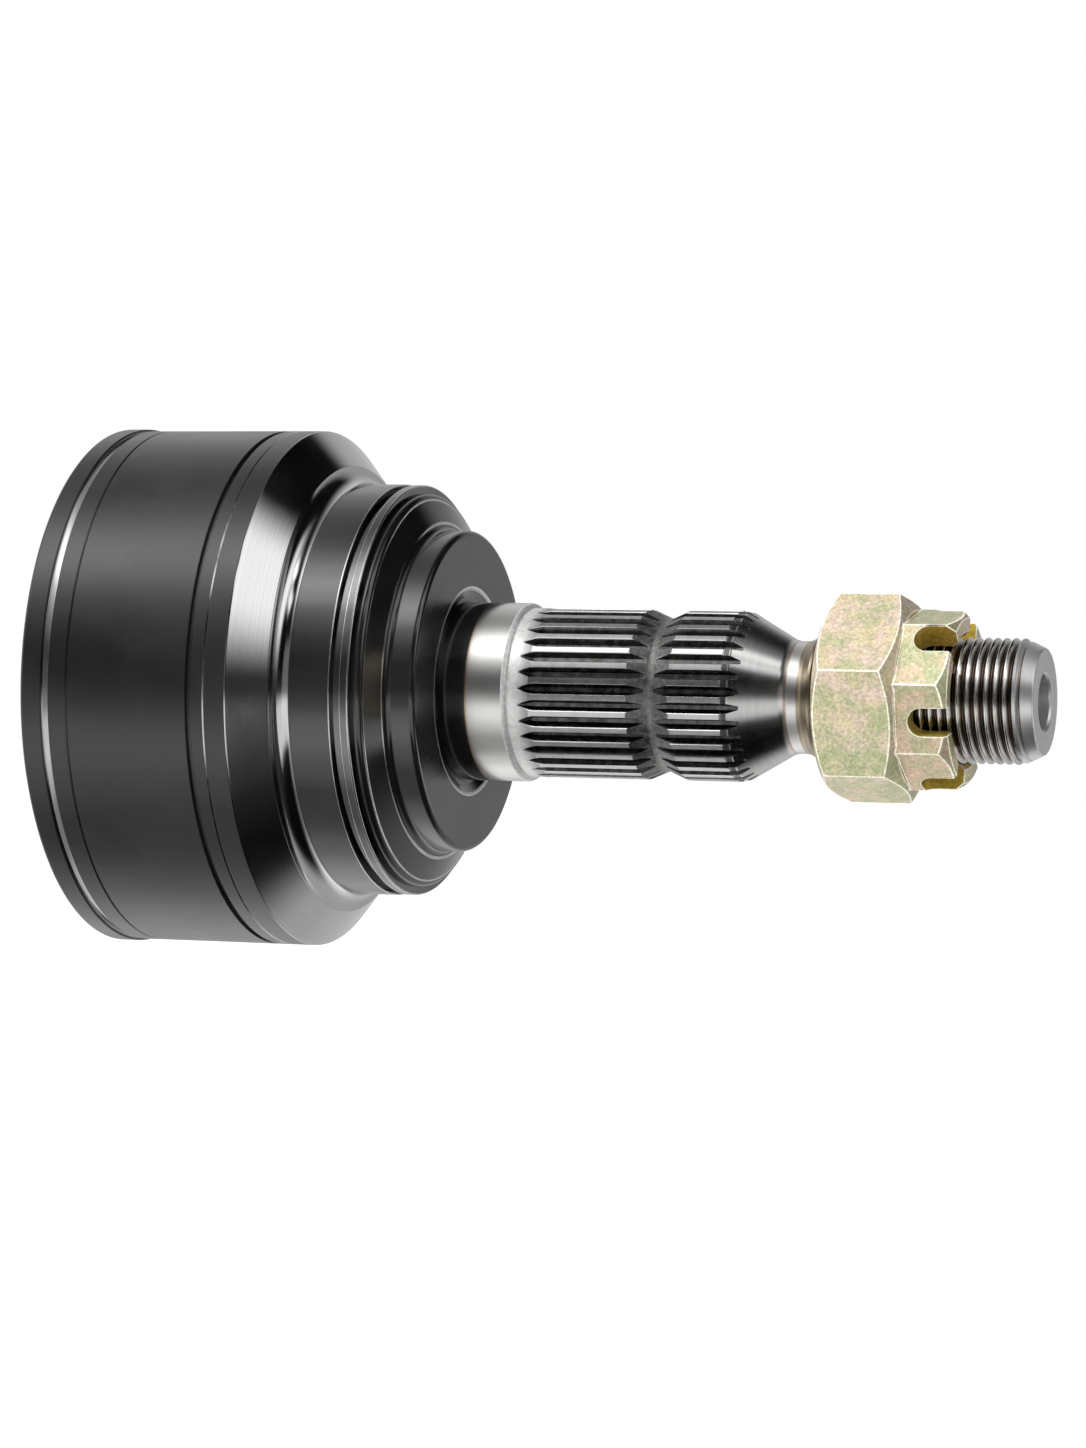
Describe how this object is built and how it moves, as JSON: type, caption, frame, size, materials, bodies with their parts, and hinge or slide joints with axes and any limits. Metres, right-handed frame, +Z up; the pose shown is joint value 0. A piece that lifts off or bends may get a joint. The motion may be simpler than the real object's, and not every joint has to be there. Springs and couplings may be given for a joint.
{
  "type": "constant velocity joint",
  "caption": "Fixed-ball drive shaft joint: a bell with a splined and threaded stub, holding a caged ball joint, with a dust ring and a slotted castle nut.",
  "frame": {"origin": "joint centre, where the spin axes of the drive shaft and of the stub meet", "axes": "+X along the spin axis from the mouth of the bell to the threaded end, +Z up, +Y completes the right-handed frame"},
  "size_m": [0.1578, 0.086, 0.086],
  "materials": {
    "race_forging": "black phosphate on the bell and collar; bright turned shoulder cone and ground journal; dark satin splines and thread",
    "ring_steel": "black satin",
    "cage_steel": "dark case-hardened, ground spherical faces",
    "star_steel": "ground and hardened",
    "spring_steel": "oiled black spring wire",
    "ball_steel": "mirror-lapped bearing steel",
    "zinc_plate": "yellow chromated zinc with a faint green and pink sheen"
  },
  "bodies": {
    "outer": {"outer_race": "race_forging", "dust_ring": "ring_steel"},
    "inner": {"inner_race": "star_steel", "circlip": "spring_steel"},
    "cage": {"cage": "cage_steel"},
    "ball_1": {"ball_1": "ball_steel"},
    "ball_2": {"ball_2": "ball_steel"},
    "ball_3": {"ball_3": "ball_steel"},
    "ball_4": {"ball_4": "ball_steel"},
    "ball_5": {"ball_5": "ball_steel"},
    "ball_6": {"ball_6": "ball_steel"},
    "nut": {"castle_nut": "zinc_plate"}
  },
  "joints": [
    {"name": "articulation", "type": "hinge", "parent": "outer", "child": "inner", "pos_m": [0, 0, 0], "axis": [0, 0, 1], "range_deg": [-45, 45]},
    {"name": "cage_tilt", "type": "hinge", "parent": "outer", "child": "cage", "pos_m": [0, 0, 0], "axis": [0, 0, 1], "range_deg": [-23, 23]},
    {"name": "ball_1_roll", "type": "hinge", "parent": "outer", "child": "ball_1", "pos_m": [-0.003, 0, 0], "axis": [0, 0, 1], "range_deg": [-23, 23]},
    {"name": "ball_2_roll", "type": "hinge", "parent": "outer", "child": "ball_2", "pos_m": [-0.003, 0, 0], "axis": [0, -0.866, 0.5], "range_deg": [-12, 12]},
    {"name": "ball_3_roll", "type": "hinge", "parent": "outer", "child": "ball_3", "pos_m": [-0.003, 0, 0], "axis": [0, -0.866, -0.5], "range_deg": [-12, 12]},
    {"name": "ball_4_roll", "type": "hinge", "parent": "outer", "child": "ball_4", "pos_m": [-0.003, 0, 0], "axis": [0, 0, -1], "range_deg": [-23, 23]},
    {"name": "ball_5_roll", "type": "hinge", "parent": "outer", "child": "ball_5", "pos_m": [-0.003, 0, 0], "axis": [0, 0.866, -0.5], "range_deg": [-12, 12]},
    {"name": "ball_6_roll", "type": "hinge", "parent": "outer", "child": "ball_6", "pos_m": [-0.003, 0, 0], "axis": [0, 0.866, 0.5], "range_deg": [-12, 12]},
    {"name": "nut_turn", "type": "hinge", "parent": "outer", "child": "nut", "pos_m": [0.113, 0, 0], "axis": [1, 0, 0], "continuous": true}
  ],
  "couplings": [
    {"joint": "cage_tilt", "follows": "articulation", "ratio": 0.5},
    {"joint": "ball_1_roll", "follows": "articulation", "ratio": 0.5},
    {"joint": "ball_2_roll", "follows": "articulation", "ratio": 0.2585},
    {"joint": "ball_3_roll", "follows": "articulation", "ratio": -0.2585},
    {"joint": "ball_4_roll", "follows": "articulation", "ratio": -0.5},
    {"joint": "ball_5_roll", "follows": "articulation", "ratio": -0.2585},
    {"joint": "ball_6_roll", "follows": "articulation", "ratio": 0.2585}
  ]
}
